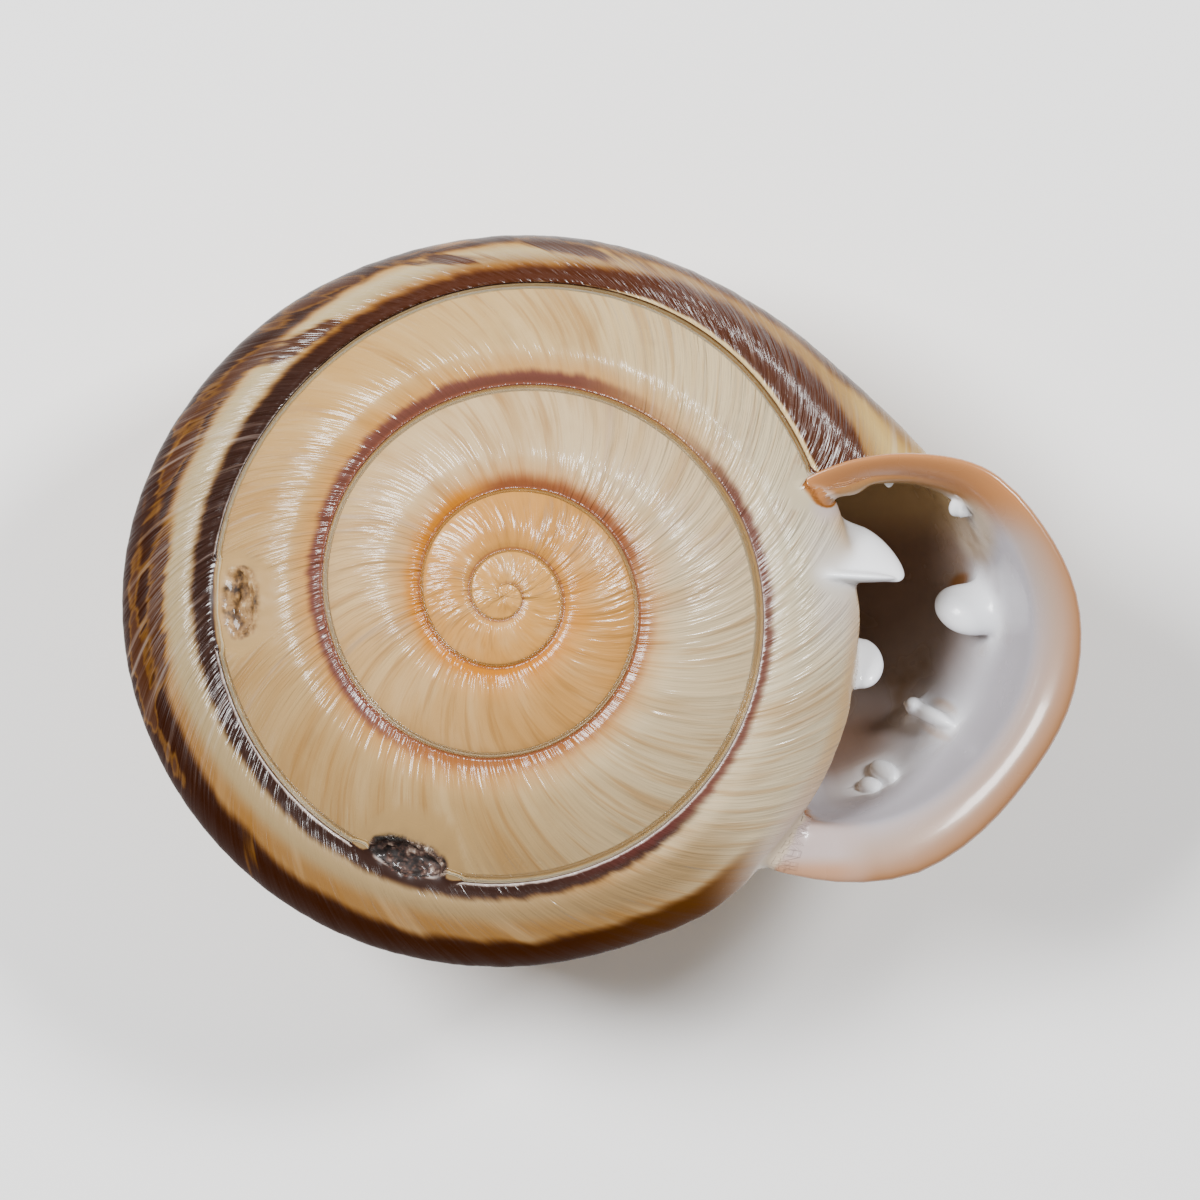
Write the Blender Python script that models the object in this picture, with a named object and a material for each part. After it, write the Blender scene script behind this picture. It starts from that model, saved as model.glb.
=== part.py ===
"""The shell of Anostoma octodentatum, a land snail whose toothed mouth turns up beside its spire.

One solid: the coiled whorls, hollow for the last half turn, the turned-up mouth with its flared
lip, and the eight teeth that grow from its walls. It rests on its base with the spire up.

A place on the coil is given in turns. Seen from above, the coil runs clockwise from +X.
Sizes are in millimetres until the meshes are made.
"""

import math

import bmesh
import bpy
import numpy as np
from mathutils import Matrix

MM = 0.001

# The coil. Its last turn ends where the mouth bends up.
COIL_END = 4.95
COIL_START = -0.75
LAST_TURN = COIL_END - 1

# Radius of the seam between the whorls, as (turns, millimetres)
SUTURE_RADIUS = (
    (0.25, 0.0),
    (0.5, 0.2),
    (0.75, 0.42),
    (1.0, 0.62),
    (1.25, 0.82),
    (1.5, 1.17),
    (1.75, 1.6),
    (2.0, 2.04),
    (2.25, 2.48),
    (2.5, 2.93),
    (2.75, 3.76),
    (3.0, 4.7),
    (3.25, 5.7),
    (3.5, 6.42),
    (3.75, 7.42),
    (4.0, 9.09),
    (4.25, 10.15),
    (4.5, 10.33),
    (4.625, 10.36),
    (4.75, 11.06),
    (4.85, 11.69),
    (4.95, 11.75),
)
# Radius and height of the keel round the last whorl
KEEL_RADIUS = (
    (3.95, 12.21),
    (4.0, 12.53),
    (4.06, 12.9),
    (4.125, 13.2),
    (4.155, 13.34),
    (4.19, 13.16),
    (4.25, 13.17),
    (4.375, 13.48),
    (4.5, 13.62),
    (4.625, 13.02),
    (4.71, 12.75),
    (4.79, 13.06),
    (4.875, 13.88),
    (4.9125, 14.6),
    (4.935, 15.35),
    (4.95, 15.95),
)
KEEL_HEIGHT = ((4.3, -0.95), (4.6, -1.5), (4.8, -2.3), (4.95, -3.3))
# How far the keel stands out past the seam that covers it
KEEL_PROUD = 0.46
# The top of a whorl bends more roundly towards the mouth
KEEL_SHARPNESS = ((3.95, 1.28), (4.5, 1.4), (4.95, 1.9))
BASE_SHARPNESS = 2.25

# The spire is a low dome over the last seam, and each whorl's crown stands a little above its seam
DOME_HEIGHT = 3.4
DOME_POWER = 1.65
CROWN_PLACE = 0.28
CROWN_RISE = 0.14
CROWN_WIDTH = 3.4

# The base: its lowest line follows the coil round a closed navel
BASE_LEVEL = ((3.0, -9.4), (3.95, -11.6), (4.95, -12.35))
BASE_LINE = 0.25
NAVEL_LEVEL = -13.0
NAVEL_SPREAD = 0.75

# The hollow
WALL = 0.55
HOLLOW_START = COIL_END - 0.55
HOLLOW_SIDE = 0.25

# The mouth: the tube's section turns about a level line out from the coil's axis
MOUTH_TILT = math.radians(82)
PIVOT_HEIGHT = 0.3
# The tube's outer wall at the mouth, from the seam round to the base, as (radius, height)
MOUTH_OUTLINE = (
    (11.4, 0.75),
    (13.2, 0.82),
    (15.2, 0.35),
    (17.15, -0.9),
    (18.25, -3.5),
    (18.35, -6.1),
    (17.2, -8.7),
    (14.75, -10.85),
    (11.5, -12.4),
    (8.8, -12.55),
    (6.5, -11.65),
    (4.7, -9.6),
)
# The lip along the outline, from its share: the wall's thickness, which spreads onto the whorl at
# the lower end, and how much of the flare's breadth and rise is there
LIP_WALL = ((0.0, 0.4), (0.2, 0.5), (0.4, 0.65), (0.7, 0.65), (0.85, 1.2), (1.0, 2.0))
LIP_FLARE = ((0.0, 0.35), (0.12, 0.4), (0.25, 0.65), (0.4, 1.0), (0.85, 1.0), (1.0, 0.3))
LIP_RISE = ((0.0, 0.25), (0.08, 0.7), (0.25, 1.0), (0.85, 1.0), (1.0, 0.2))
# Ends of the wall that are sunk in the whorl before, at the mouth
SEAM_ROOT = (10.6, 0.3)
CORE_ROOT = (4.6, -8.9)
LINING_START = 12.2
# The flared lip in section, from the outer wall over the rim towards the inner wall: how far out,
# what share of the wall in, and how far up
LIP_SECTION = (
    (0.3, 0.0, 0.18),
    (0.7, 0.0, 0.36),
    (0.88, 0.0, 0.56),
    (0.72, 0.0, 0.74),
    (0.3, 0.0, 0.7),
    (0.0, 0.25, 0.5),
    (0.0, 0.75, 0.22),
)

# The teeth, from the big one on the whorl's side round the mouth: both ends of the root, the tip
# and the thickness
TEETH = (
    ((11.9, 2.6, -2.6), (11.85, 0.7, -0.1), (14.22, 0.72, -0.9), 0.95),
    ((12.3, -1.5, -3.0), (12.25, -3.25, -1.4), (13.42, -2.45, -2.0), 0.8),
    ((16.95, 0.45, -4.6), (17.7, -1.28, -3.6), (15.42, -0.62, -4.1), 1.35),
    ((16.3, -4.75, -4.3), (14.5, -4.1, -6.9), (14.4, -3.8, -5.9), 0.5),
    ((14.1, -6.9, -4.5), (13.1, -6.1, -6.3), (13.2, -5.8, -5.5), 0.5),
    ((13.45, -7.2, -4.5), (12.7, -6.8, -5.6), (12.75, -6.5, -5.2), 0.5),
    ((16.2, 3.6, -0.8), (16.2, 2.9, -1.4), (15.75, 3.15, -1.3), 0.6),
    ((13.35, 4.35, -0.85), (13.85, 4.35, -0.85), (13.6, 3.85, -0.75), 0.45),
)
TOOTH_SINK = 0.3
# Shares of the way to a tooth's tip, and of its breadth there
TOOTH_PROFILE = ((0.0, 1.08), (0.45, 0.92), (0.8, 0.62), (0.96, 0.28))
TOOTH_SIDES = 10

# Damage on the spire: a pit, and a broken place on the last seam, as the centre, the three radii
# and the turn about the vertical
DAMAGE = (
    ((-9.42, -0.25, 1.65), (0.6, 1.45, 0.7), 0.0),
    ((-3.45, -9.35, 1.05), (1.5, 0.6, 0.5), math.radians(-20)),
)

# The shell rests on a small worn flat on its base, under its centre of mass
REST_X = 0.8
REST_Y = -0.5
REST_DEPTH = 12.2
CUTTER_SIZE = 16.0

# How finely the solid is cut up
STEPS_PER_TURN = 60
SPIRE_STEPS_PER_TURN = 30
SPIRE_END = 1.95
TOP_ROWS = 3
KEEL_ROWS = 2
BASE_ROWS = 14
NAVEL_ROWS = 3
MOUTH_STEPS = 14
# The hollow's inner side runs from the covered keel down to the base's lowest line
SEAM_ROW = TOP_ROWS + KEEL_ROWS
CORE_ROW = TOP_ROWS + KEEL_ROWS + BASE_ROWS
# Edges sharper than this stay sharp in the shading
SHARP_ANGLE = math.radians(45)


def smooth_curve(points, places):
    """Values at the given places of a smooth curve through the points, level past its ends."""
    xs, ys = np.array(points, float).T
    slopes = np.gradient(ys, xs)
    places = np.clip(places, xs[0], xs[-1])
    left = np.clip(np.searchsorted(xs, places, side="right") - 1, 0, len(xs) - 2)
    span = xs[left + 1] - xs[left]
    t = (places - xs[left]) / span
    rise = (2 * t**3 - 3 * t**2 + 1) * ys[left] + (3 * t**2 - 2 * t**3) * ys[left + 1]
    bend = (t**3 - 2 * t**2 + t) * slopes[left] + (t**3 - t**2) * slopes[left + 1]
    return rise + bend * span


def suture_radius(turn):
    return smooth_curve(SUTURE_RADIUS, turn)


def suture_height(turn):
    reach = suture_radius(turn) / suture_radius(COIL_END)
    return DOME_HEIGHT * (1 - reach**DOME_POWER)


def keel_radius(turn):
    if turn >= LAST_TURN:
        return smooth_curve(KEEL_RADIUS, turn)
    return suture_radius(turn + 1) + KEEL_PROUD * whorl_scale(turn)


def whorl_scale(turn):
    """Small whorls have a lower crown and a finer keel."""
    return min(1.0, (suture_radius(turn + 1) - suture_radius(turn)) / CROWN_WIDTH + 0.02)


def top_arc(turn):
    """The crown's radius and height, the keel's, and how sharply the top bends into the keel."""
    inner = suture_radius(turn)
    outer = keel_radius(turn)
    crown = inner + CROWN_PLACE * (outer - inner)
    scale = min(1.0, (outer - inner) / CROWN_WIDTH)
    crown_height = suture_height(turn) + CROWN_RISE * scale
    sharpness = smooth_curve(KEEL_SHARPNESS, turn)
    if turn <= LAST_TURN:
        share = np.clip((suture_radius(turn + 1) - crown) / (outer - crown), 0.1, 0.999)
        left = (1 - share**sharpness) ** (1 / sharpness)
        drop = (crown_height - suture_height(turn + 1)) / (1 - left)
        return crown, crown_height, outer, crown_height - drop, sharpness
    start_height = top_arc(LAST_TURN)[3]
    keel_height = smooth_curve(((LAST_TURN, start_height),) + KEEL_HEIGHT, turn)
    return crown, crown_height, outer, keel_height, sharpness


def top_heights(turn, radii):
    """Heights of a whorl's top at some radii between its seam and its keel."""
    crown, crown_height, outer, keel_height, sharpness = top_arc(turn)
    inner = suture_radius(turn)
    inward = np.clip((crown - radii) / max(crown - inner, 1e-6), 0, 1)
    outward = np.clip((radii - crown) / (outer - crown), 0, 1)
    fall = (1 - outward**sharpness) ** (1 / sharpness)
    rim = crown_height - (crown_height - suture_height(turn)) * inward**2
    return np.where(radii < crown, rim, keel_height + (crown_height - keel_height) * fall)


def cover_radius(turn):
    """Where the next whorl covers this one, or would if the shell had grown on."""
    if turn <= LAST_TURN:
        return suture_radius(turn + 1)
    return keel_radius(turn) - KEEL_PROUD


def ribbon_section(turn):
    """Radii and heights from a whorl's seam out to the next one."""
    radii = np.linspace(suture_radius(turn), cover_radius(turn), TOP_ROWS + 1)
    return np.column_stack((radii, top_heights(turn, radii)))


def full_section(turn):
    """Radii and heights of a whole whorl: seam, crown, keel, base and navel."""
    crown, crown_height, outer, keel_height, sharpness = top_arc(turn)
    share = np.clip((cover_radius(turn) - crown) / (outer - crown), 0, 1)
    start = math.asin(min(1.0, share ** (sharpness / 2)))
    angles = np.linspace(start, math.pi / 2, KEEL_ROWS + 1)[1:]
    keel = np.column_stack((
        crown + (outer - crown) * np.sin(angles) ** (2 / sharpness),
        keel_height + (crown_height - keel_height) * np.cos(angles).clip(0) ** (2 / sharpness),
    ))
    base_level = smooth_curve(BASE_LEVEL, turn)
    base_line = BASE_LINE * outer
    angles = np.linspace(0, math.pi / 2, BASE_ROWS + 1)[1:]
    base = np.column_stack((
        base_line + (outer - base_line) * np.cos(angles).clip(0) ** (2 / BASE_SHARPNESS),
        keel_height - (keel_height - base_level) * np.sin(angles) ** (2 / BASE_SHARPNESS),
    ))
    inward = np.linspace(0, 1, NAVEL_ROWS + 1)[1:]
    navel = np.column_stack((
        base_line * (1 - inward),
        base_level + (NAVEL_LEVEL - base_level) * np.sin(math.pi / 2 * inward**NAVEL_SPREAD) ** 2,
    ))
    return np.vstack((ribbon_section(turn), keel, base, navel))


def on_coil(section, turn):
    """Points of a section, placed on the coil."""
    angle = -2 * math.pi * turn
    radii = section[:, 0]
    return np.column_stack((radii * math.cos(angle), radii * math.sin(angle), section[:, 1]))


def in_mouth(section, tilt, ahead=0.0):
    """Points of a section turned up about the pivot, and moved ahead out of its plane."""
    angle = -2 * math.pi * COIL_END
    outward = np.array((math.cos(angle), math.sin(angle), 0))
    forward = np.array((math.sin(angle), -math.cos(angle), 0))
    upward = np.array((0, 0, 1))
    depth = PIVOT_HEIGHT - section[:, 1]
    forward_by = depth * math.sin(tilt) + ahead * math.cos(tilt)
    upward_by = PIVOT_HEIGHT - depth * math.cos(tilt) + ahead * math.sin(tilt)
    return (
        section[:, :1] * outward
        + forward_by[:, None] * forward
        + upward_by[:, None] * upward
    )


def placed(points):
    """From the coil's own place to the shell at rest, in metres."""
    return (np.asarray(points, float) - (REST_X, REST_Y, -REST_DEPTH)) * MM


def offset(path, distance):
    """The path moved to its right-hand side, by one distance or by one for each point."""
    run = np.gradient(path, axis=0)
    run /= np.linalg.norm(run, axis=1)[:, None]
    side = np.column_stack((run[:, 1], -run[:, 0]))
    return path + side * np.reshape(distance, (-1, 1))


def resampled(path, shares):
    """Points at the given shares of a path's length."""
    steps = np.linalg.norm(np.diff(path, axis=0), axis=1)
    along = np.concatenate(((0,), np.cumsum(steps)))
    places = np.asarray(shares) * along[-1]
    return np.column_stack([np.interp(places, along, path[:, k]) for k in range(2)])


def length_shares(path):
    steps = np.linalg.norm(np.diff(path, axis=0), axis=1)
    along = np.concatenate(((0,), np.cumsum(steps)))
    return along / along[-1]


def smooth_path(points, count=200):
    """A smooth path through points, evenly spaced."""
    points = np.array(points, float)
    shares = length_shares(points)
    places = np.linspace(0, 1, count)
    columns = [smooth_curve(np.column_stack((shares, points[:, k])), places) for k in range(2)]
    return np.column_stack(columns)


def hollow_sides(turn):
    """The hollow's outer side, from the seam round to the core, and its inner side back up."""
    outside = full_section(turn)
    inside = full_section(turn - 1)
    inner = inside[SEAM_ROW:CORE_ROW + 1]
    lined = offset(smooth_path(outside), WALL)
    clear = lined[:, 0] > keel_radius(turn - 1) + HOLLOW_SIDE
    clear |= (lined[:, 0] > inner[-1, 0]) & (lined[:, 1] < inner[-1, 1] / 2)
    outer = resampled(lined[clear], length_shares(outside))
    return outer, inner


def column_turns():
    """Places of the sections along the coil, fewer on the small inner whorls."""
    coarse = STEPS_PER_TURN // SPIRE_STEPS_PER_TURN
    first = round(COIL_START * STEPS_PER_TURN)
    change = round(SPIRE_END * STEPS_PER_TURN)
    last = round(COIL_END * STEPS_PER_TURN)
    return list(range(first, change, coarse)) + list(range(change, last + 1))


def new_object(name, collection, material, bm):
    mesh = bpy.data.meshes.new(name)
    bm.to_mesh(mesh)
    bm.free()
    mesh.shade_smooth()
    mesh.set_sharp_from_angle(angle=SHARP_ANGLE)
    mesh.materials.append(material)
    obj = bpy.data.objects.new(name, mesh)
    collection.objects.link(obj)
    return obj


def cleaned(bm):
    """Merges the poles and turns every face outwards."""
    bmesh.ops.remove_doubles(bm, verts=bm.verts, dist=0.004 * MM)
    bmesh.ops.triangulate(bm, faces=[f for f in bm.faces if len(f.verts) > 4])
    bmesh.ops.recalc_face_normals(bm, faces=bm.faces)
    return bm


def add_points(bm, points):
    return [bm.verts.new(p) for p in placed(points)]


def add_face(bm, verts):
    """A face on the corners that differ, or none where they fall together."""
    corners = [v for k, v in enumerate(verts) if v is not verts[k - 1]]
    if len(corners) > 2:
        bm.faces.new(corners)


def add_strip(bm, first, second):
    for k in range(len(first) - 1):
        add_face(bm, (first[k], first[k + 1], second[k + 1], second[k]))


def build_coil(collection, material):
    """The whorls as one closed body, hollow behind the plane where the mouth begins."""
    bm = bmesh.new()
    columns = column_turns()
    last = columns[-1]
    rows = {}
    navel = add_points(bm, ((0, 0, NAVEL_LEVEL),))[0]
    for tick in columns:
        turn = tick / STEPS_PER_TURN
        if tick < last - STEPS_PER_TURN:
            rows[tick] = add_points(bm, on_coil(ribbon_section(turn)[:-1], turn))
        else:
            rows[tick] = add_points(bm, on_coil(full_section(turn)[:-1], turn)) + [navel]
    for here, there in zip(columns, columns[1:]):
        add_strip(bm, rows[here], rows[there])
        if here >= last - STEPS_PER_TURN:
            continue
        covered = [
            rows[tick][0]
            for tick in columns
            if here + STEPS_PER_TURN <= tick <= there + STEPS_PER_TURN
        ]
        side = rows[there][TOP_ROWS - 1]
        add_face(bm, [rows[here][-1]] + covered + [side])
    close_hollow(bm, columns, rows)
    return new_object("shell", collection, material, cleaned(bm))


def close_hollow(bm, columns, rows):
    """The hollow's walls, its blind end, and the band of wall where the mouth joins on."""
    last = columns[-1]
    before = rows[last - STEPS_PER_TURN]
    rings = []
    for tick in columns:
        turn = tick / STEPS_PER_TURN
        if turn < HOLLOW_START:
            continue
        outer, inner = hollow_sides(turn)
        outer_verts = add_points(bm, on_coil(outer, turn))
        inner_verts = before[SEAM_ROW:CORE_ROW + 1]
        if tick < last:
            inner_verts = add_points(bm, on_coil(inner, turn))
        rings.append(outer_verts + inner_verts[::-1])
    for ring, following in zip(rings, rings[1:]):
        add_strip(bm, ring + ring[:1], following + following[:1])
    bm.faces.new(rings[0])
    seam_side = before[TOP_ROWS + 1:SEAM_ROW + 1]
    core_side = before[CORE_ROW:-1]
    band = rows[last] + core_side[::-1] + outer_verts[::-1] + seam_side[::-1]
    bm.faces.new(band)


def mouth_walls():
    """The tube's outer and inner wall and their sunk ends, at the bend and at the lip."""
    outside = full_section(COIL_END)
    lining, core_side = hollow_sides(COIL_END)
    seam_root = core_side[0] + 2 * (core_side[0] - lining[0])
    core_root = core_side[-1] + (core_side[-1] - lining[-1])
    outline = smooth_path(MOUTH_OUTLINE)
    shares = length_shares(outside)
    lip_outside = resampled(outline, shares)
    lined = offset(outline, smooth_curve(LIP_WALL, length_shares(outline)))
    trimmed = lined[(lined[:, 0] > LINING_START) | (lined[:, 1] < outline[0, 1] - 2)]
    lip_lining = resampled(trimmed, shares)
    bend = (seam_root[None], outside, core_root[None], lining[::-1])
    lip = (np.array((SEAM_ROOT,)), lip_outside, np.array((CORE_ROOT,)), lip_lining[::-1])
    return np.vstack(bend), np.vstack(lip), len(outside)


def build_mouth(collection, material):
    """The bent tube and its flared lip as one closed body, with its wall's ends sunk in the coil."""
    bm = bmesh.new()
    at_bend, at_lip, count = mouth_walls()
    rings = [add_points(bm, on_coil(at_bend, COIL_END))]
    for step in range(1, MOUTH_STEPS + 1):
        share = step / MOUTH_STEPS
        section = at_bend + (at_lip - at_bend) * share
        rings.append(add_points(bm, in_mouth(section, MOUTH_TILT * share)))
    bm.faces.new(rings[0])
    for ring, following in zip(rings, rings[1:]):
        add_strip(bm, ring + ring[:1], following + following[:1])
    add_lip(bm, at_lip, rings[-1], count)
    return new_object("mouth_tube", collection, material, cleaned(bm))


def add_lip(bm, at_lip, ring, count):
    """The lip's rim, swept round the mouth between the ends of the outer and the inner wall."""
    outside = at_lip[1:count + 1]
    outward = outside - offset(outside, 1)
    lining = at_lip[count + 2:][::-1]
    seam_root, core_root = ring[0], ring[count + 1]
    along = length_shares(outside)
    rise = smooth_curve(LIP_RISE, along)
    flare = smooth_curve(LIP_FLARE, along)
    rows = [[seam_root] + ring[1:count + 2]]
    for out, share, up in LIP_SECTION:
        across = outside + (lining - outside) * share + outward * (out * flare)[:, None]
        points = in_mouth(across, MOUTH_TILT, up * rise)
        rows.append([seam_root] + add_points(bm, points) + [core_root])
    rows.append([seam_root] + ring[:count + 1:-1] + [core_root])
    for row, following in zip(rows, rows[1:]):
        add_strip(bm, row, following)


def build_tooth(name, collection, material, root_start, root_end, tip, thickness):
    """A tooth: rounded rings from its root, sunk in the wall, to its tip."""
    bm = bmesh.new()
    root_start, root_end, tip = np.array((root_start, root_end, tip))
    middle = (root_start + root_end) / 2
    rise = tip - middle
    breadth = (root_start - root_end) / 2
    across = np.cross(rise, breadth)
    across *= thickness / 2 / np.linalg.norm(across)
    sunk = middle - rise * TOOTH_SINK / np.linalg.norm(rise)
    angles = np.linspace(0, 2 * math.pi, TOOTH_SIDES, endpoint=False)[:, None]
    outline = breadth * np.cos(angles) + across * np.sin(angles)
    rings = [add_points(bm, sunk + outline * TOOTH_PROFILE[0][1])]
    for share, size in TOOTH_PROFILE:
        rings.append(add_points(bm, middle + rise * share + outline * size))
    bm.faces.new(rings[0])
    for ring, following in zip(rings, rings[1:]):
        add_strip(bm, ring + ring[:1], following + following[:1])
    end = add_points(bm, (tip,))[0]
    for start, following in zip(rings[-1], rings[-1][1:] + rings[-1][:1]):
        bm.faces.new((start, following, end))
    return new_object(name, collection, material, cleaned(bm))


def build_damage(name, collection, material, centre, radii, turned):
    """An egg-shaped cutter."""
    bm = bmesh.new()
    bmesh.ops.create_icosphere(bm, subdivisions=2, radius=MM)
    bmesh.ops.scale(bm, vec=radii, verts=bm.verts)
    bmesh.ops.rotate(bm, matrix=Matrix.Rotation(turned, 3, "Z"), verts=bm.verts)
    bmesh.ops.translate(bm, vec=placed((centre,))[0], verts=bm.verts)
    return new_object(name, collection, material, bm)


def build_rest_cutter(collection, material):
    """A block under the rest plane, which planes the base flat."""
    bm = bmesh.new()
    bmesh.ops.create_cube(bm, size=CUTTER_SIZE * MM)
    bmesh.ops.translate(bm, vec=(0, 0, -CUTTER_SIZE * MM / 2), verts=bm.verts)
    return new_object("rest_plane", collection, material, bm)


def join(target, other, operation, solver="EXACT"):
    modifier = target.modifiers.new(other.name, "BOOLEAN")
    modifier.operation = operation
    modifier.solver = solver
    modifier.object = other
    other.hide_render = True
    other.display_type = "WIRE"


def clear_scene():
    for obj in list(bpy.data.objects):
        bpy.data.objects.remove(obj, do_unlink=True)


def make_material(name, colour, roughness):
    material = bpy.data.materials.new(name)
    material.use_nodes = True
    shader = material.node_tree.nodes["Principled BSDF"]
    shader.inputs["Base Color"].default_value = (*colour, 1)
    shader.inputs["Roughness"].default_value = roughness
    return material


def main():
    clear_scene()
    collection = bpy.data.collections.new("anostoma_shell")
    bpy.context.scene.collection.children.link(collection)
    shell_material = make_material("glazed_shell", (0.62, 0.45, 0.27), 0.3)
    tools = bpy.data.collections.new("tools")
    bpy.context.scene.collection.children.link(tools)
    shell = build_coil(collection, shell_material)
    # EXACT leaves holes where the mouth's start lies on the coil's own band of wall
    join(shell, build_mouth(tools, shell_material), "UNION", "MANIFOLD")
    for number, (start, end, tip, thickness) in enumerate(TEETH, 1):
        name = f"tooth_{number}"
        tooth = build_tooth(name, tools, shell_material, start, end, tip, thickness)
        join(shell, tooth, "UNION")
    for number, (centre, radii, turned) in enumerate(DAMAGE, 1):
        name = f"damage_{number}"
        join(shell, build_damage(name, tools, shell_material, centre, radii, turned), "DIFFERENCE")
    join(shell, build_rest_cutter(tools, shell_material), "DIFFERENCE")


main()
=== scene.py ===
import math

import bmesh
import bpy
import numpy as np
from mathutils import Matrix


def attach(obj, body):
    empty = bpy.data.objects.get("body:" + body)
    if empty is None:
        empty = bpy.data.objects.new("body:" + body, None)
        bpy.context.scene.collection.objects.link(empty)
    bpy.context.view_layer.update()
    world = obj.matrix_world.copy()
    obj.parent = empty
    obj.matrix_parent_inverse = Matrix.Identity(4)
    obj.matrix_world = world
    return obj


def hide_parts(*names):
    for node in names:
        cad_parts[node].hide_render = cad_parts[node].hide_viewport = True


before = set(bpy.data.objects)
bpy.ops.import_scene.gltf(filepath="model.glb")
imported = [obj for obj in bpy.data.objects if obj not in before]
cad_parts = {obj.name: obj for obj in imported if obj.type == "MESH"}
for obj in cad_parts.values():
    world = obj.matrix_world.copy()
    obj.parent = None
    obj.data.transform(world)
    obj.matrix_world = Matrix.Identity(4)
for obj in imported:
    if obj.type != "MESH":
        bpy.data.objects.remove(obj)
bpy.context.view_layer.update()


# The shell: glazed whorls that coil clockwise to a toothed mouth, turned up beside the spire.
# It is one thing that grew. Each cross-section is laid flat with its place on the coil written
# on it, Geometry Nodes wind the sections up, and the mouth, teeth and damage are joined on.

# Places along the coil are in turns, and sizes in millimetres until the sections are wound
coil_start = -0.75
coil_end = 4.95
last_turn = coil_end - 1

seam_radius_by_turn = (
    (0.25, 0.0), (0.5, 0.2), (0.75, 0.42), (1.0, 0.62), (1.25, 0.82), (1.5, 1.17), (1.75, 1.6),
    (2.0, 2.04), (2.25, 2.48), (2.5, 2.93), (2.75, 3.76), (3.0, 4.7), (3.25, 5.7), (3.5, 6.42),
    (3.75, 7.42), (4.0, 9.09), (4.25, 10.15), (4.5, 10.33), (4.625, 10.36), (4.75, 11.06),
    (4.85, 11.69), (4.95, 11.75),
)
keel_radius_by_turn = (
    (3.95, 12.21), (4.0, 12.53), (4.06, 12.9), (4.125, 13.2), (4.155, 13.34), (4.19, 13.16),
    (4.25, 13.17), (4.375, 13.48), (4.5, 13.62), (4.625, 13.02), (4.71, 12.75), (4.79, 13.06),
    (4.875, 13.88), (4.9125, 14.6), (4.935, 15.35), (4.95, 15.95),
)
keel_height_by_turn = ((4.3, -0.95), (4.6, -1.5), (4.8, -2.3), (4.95, -3.3))
keel_proud = 0.46
top_sharpness_by_turn = ((3.95, 1.28), (4.5, 1.4), (4.95, 1.9))
base_sharpness = 2.25
dome_height = 3.4
dome_power = 1.65
crown_place = 0.28
crown_rise = 0.14
crown_width = 3.4
base_level_by_turn = ((3.0, -9.4), (3.95, -11.6), (4.95, -12.35))
base_line = 0.25
navel_level = -13.0
navel_spread = 0.75
wall = 0.55
hollow_start = coil_end - 0.55
hollow_side = 0.25
hollow_rim, hollow_rim_per_turn = 9, 60

# How finely the surface is cut up: rows crowd towards the seam, where the thread is
ticks_per_turn = 480
fine_from_turn = 2.95
middling_from_turn = 1.45
top_rows = 18
top_crowding = 1.35
keel_rows = 6
base_rows = 26
navel_rows = 6
keel_row = top_rows + keel_rows
core_row = keel_row + base_rows
hollow_tick_step = 4
mouth_steps = 56
tooth_sides = 44

# The shell rests on a small worn flat
rest_x = 0.8
rest_y = -0.5
rest_depth = 12.2
millimetre = 0.001
pivot_height = 0.3

# Growth lines lean back as they cross a whorl, by this share of a turn, and bow a little
growth_lean = 0.0375
growth_bow = 0.01


def smooth_curve(points, places):
    """Values at some places of a smooth curve through the points, level past its ends."""
    xs, ys = np.array(points, float).T
    slopes = np.gradient(ys, xs)
    places = np.clip(places, xs[0], xs[-1])
    left = np.clip(np.searchsorted(xs, places, side="right") - 1, 0, len(xs) - 2)
    span = xs[left + 1] - xs[left]
    t = (places - xs[left]) / span
    rise = (2 * t**3 - 3 * t**2 + 1) * ys[left] + (3 * t**2 - 2 * t**3) * ys[left + 1]
    bend = (t**3 - 2 * t**2 + t) * slopes[left] + (t**3 - t**2) * slopes[left + 1]
    return rise + bend * span


def seam_radius(turn):
    return smooth_curve(seam_radius_by_turn, turn)


def seam_height(turn):
    return dome_height * (1 - (seam_radius(turn) / seam_radius(coil_end)) ** dome_power)


def keel_radius(turn):
    if turn >= last_turn:
        return smooth_curve(keel_radius_by_turn, turn)
    width = seam_radius(turn + 1) - seam_radius(turn)
    return seam_radius(turn + 1) + keel_proud * min(1.0, width / crown_width + 0.02)


def cover_radius(turn):
    """Where the next whorl covers this one, or would if the shell had grown on."""
    return seam_radius(turn + 1) if turn <= last_turn else keel_radius(turn) - keel_proud


def top_arc(turn):
    """The crown's radius and height, the keel's, and how sharply the top bends into the keel."""
    inner, outer = seam_radius(turn), keel_radius(turn)
    crown = inner + crown_place * (outer - inner)
    crown_height = seam_height(turn) + crown_rise * min(1.0, (outer - inner) / crown_width)
    sharpness = smooth_curve(top_sharpness_by_turn, turn)
    if turn <= last_turn:
        share = np.clip((seam_radius(turn + 1) - crown) / (outer - crown), 0.1, 0.999)
        left = (1 - share**sharpness) ** (1 / sharpness)
        drop = (crown_height - seam_height(turn + 1)) / (1 - left)
        return crown, crown_height, outer, crown_height - drop, sharpness
    from_height = top_arc(last_turn)[3]
    keel_height = smooth_curve(((last_turn, from_height),) + keel_height_by_turn, turn)
    return crown, crown_height, outer, keel_height, sharpness


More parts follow.
